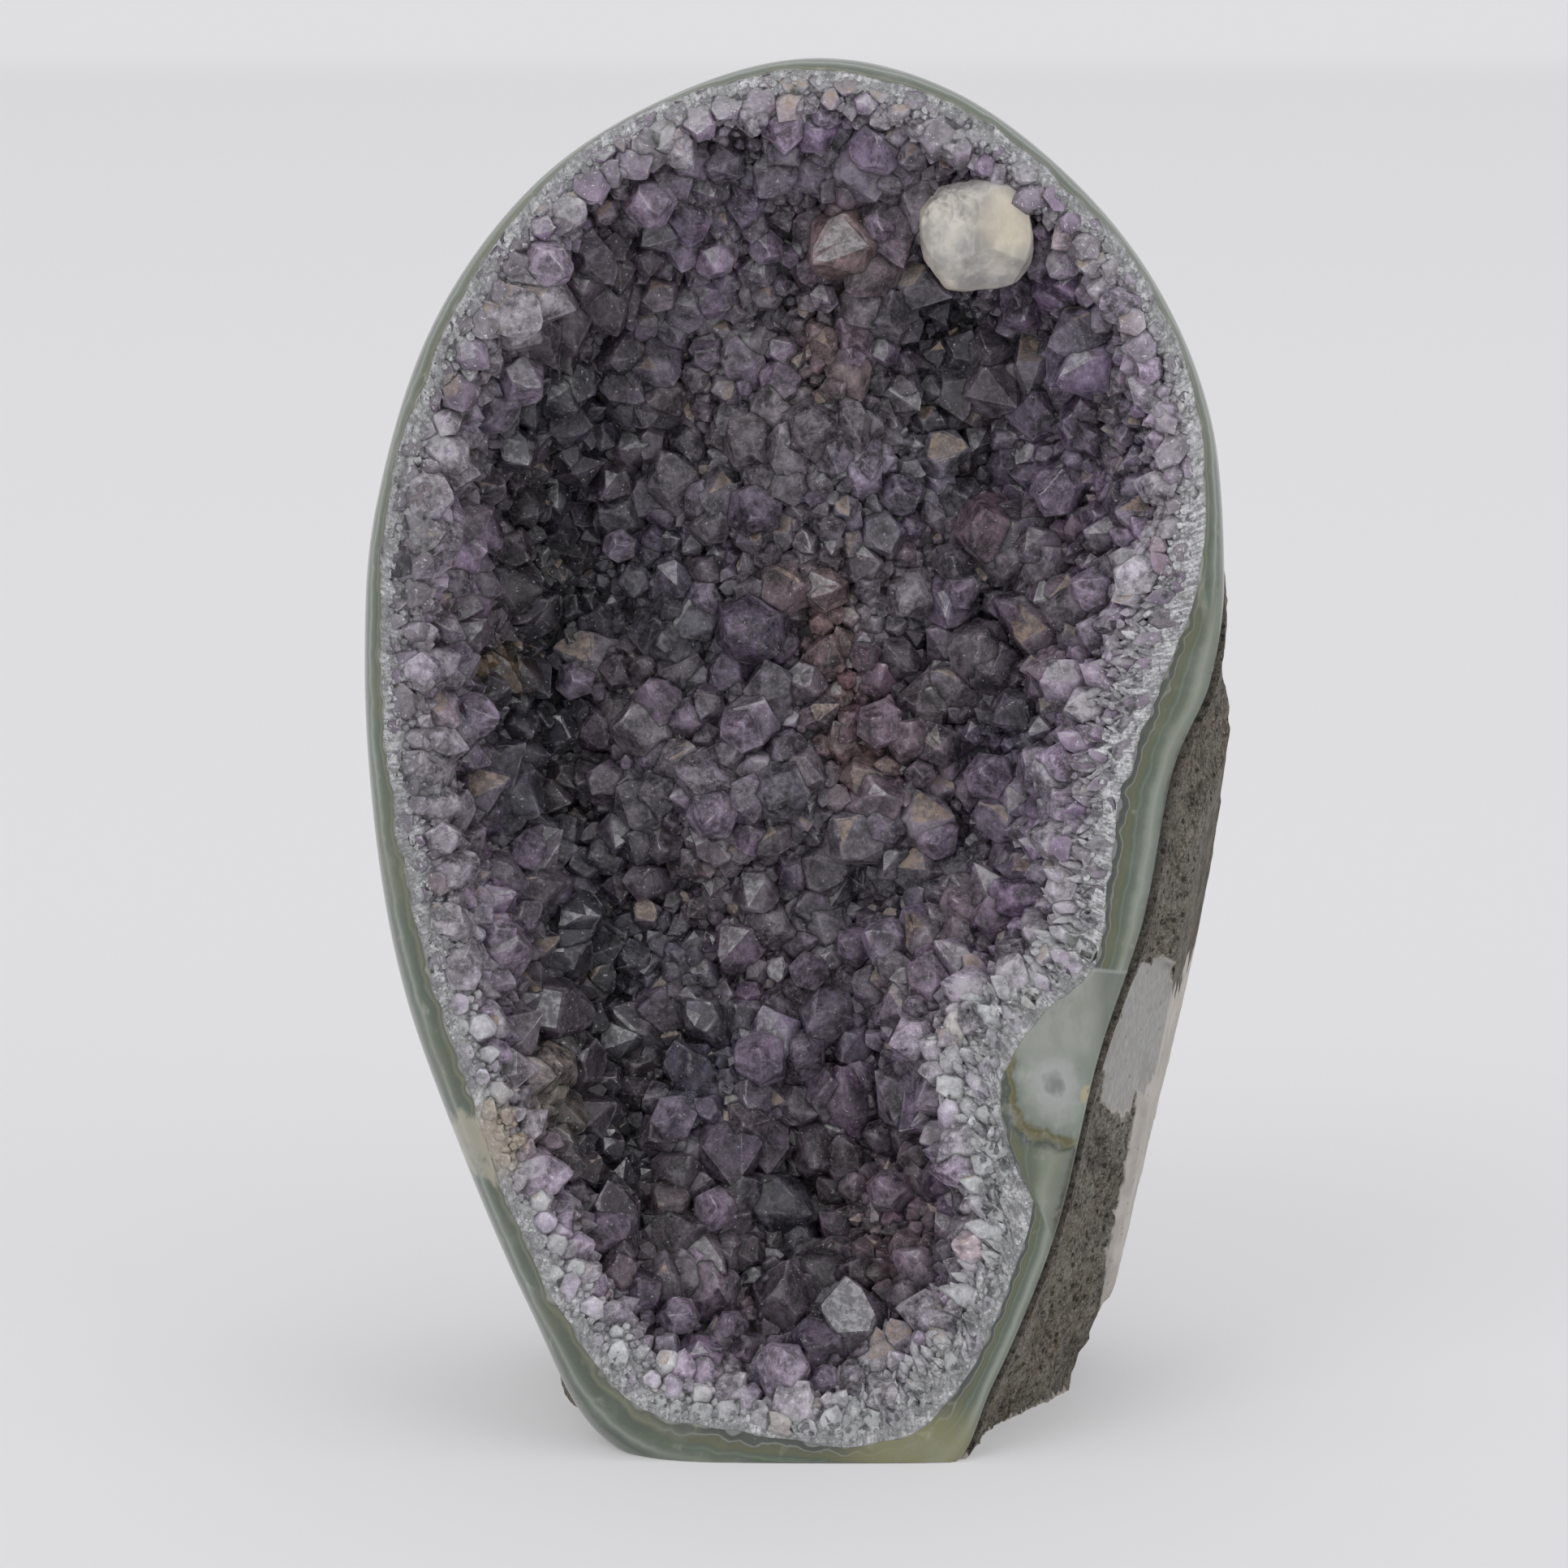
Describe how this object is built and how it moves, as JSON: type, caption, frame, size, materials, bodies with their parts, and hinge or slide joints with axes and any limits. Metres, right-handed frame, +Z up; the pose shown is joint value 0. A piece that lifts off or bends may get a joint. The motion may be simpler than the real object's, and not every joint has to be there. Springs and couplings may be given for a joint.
{
  "type": "amethyst geode",
  "caption": "Sawn and polished geode that stands on a flat sawn base: basalt shell, banded agate rind, white quartz layer and a hollow lined with amethyst points.",
  "frame": {"origin": "on the flat sawn base, below the middle of the polished face's width and half way back", "axes": "+Z up, +Y from the polished face towards the rock's back, +X to the right when looking at the polished face"},
  "size_m": [0.1065, 0.0628, 0.1671],
  "materials": {
    "basalt": "rough broken basalt with fine pores, sawn flat at the base and on one side",
    "agate": "polished grey-green banded agate",
    "quartz": "white granular quartz, cut and polished at the rim",
    "amethyst": "dark smoky violet crystal crust",
    "amethyst_point": "glossy lilac crystal points",
    "calcite": "cream translucent calcite"
  },
  "bodies": {
    "root": {"host_rock": "basalt", "agate_rind": "agate", "quartz_layer": "quartz", "amethyst_druse": "amethyst", "amethyst_point_01": "amethyst_point", "amethyst_point_02": "amethyst_point", "amethyst_point_03": "amethyst_point", "amethyst_point_04": "amethyst_point", "amethyst_point_05": "amethyst_point", "amethyst_point_06": "amethyst_point", "amethyst_point_07": "amethyst_point", "amethyst_point_08": "amethyst_point", "amethyst_point_09": "amethyst_point", "amethyst_point_10": "amethyst_point", "amethyst_point_11": "amethyst_point", "amethyst_point_12": "amethyst_point", "amethyst_point_13": "amethyst_point", "amethyst_point_14": "amethyst_point", "amethyst_point_15": "amethyst_point", "amethyst_point_16": "amethyst_point", "amethyst_point_17": "amethyst_point", "amethyst_point_18": "amethyst_point", "amethyst_point_19": "amethyst_point", "amethyst_point_20": "amethyst_point", "amethyst_point_21": "amethyst_point", "amethyst_point_22": "amethyst_point", "amethyst_point_23": "amethyst_point", "amethyst_point_24": "amethyst_point", "amethyst_point_25": "amethyst_point", "amethyst_point_26": "amethyst_point", "amethyst_point_27": "amethyst_point", "amethyst_point_28": "amethyst_point", "amethyst_point_29": "amethyst_point", "amethyst_point_30": "amethyst_point", "amethyst_point_31": "amethyst_point", "amethyst_point_32": "amethyst_point", "amethyst_point_33": "amethyst_point", "amethyst_point_34": "amethyst_point", "amethyst_point_35": "amethyst_point", "amethyst_point_36": "amethyst_point", "amethyst_point_37": "amethyst_point", "amethyst_point_38": "amethyst_point", "calcite_crystal": "calcite"}
  },
  "joints": []
}
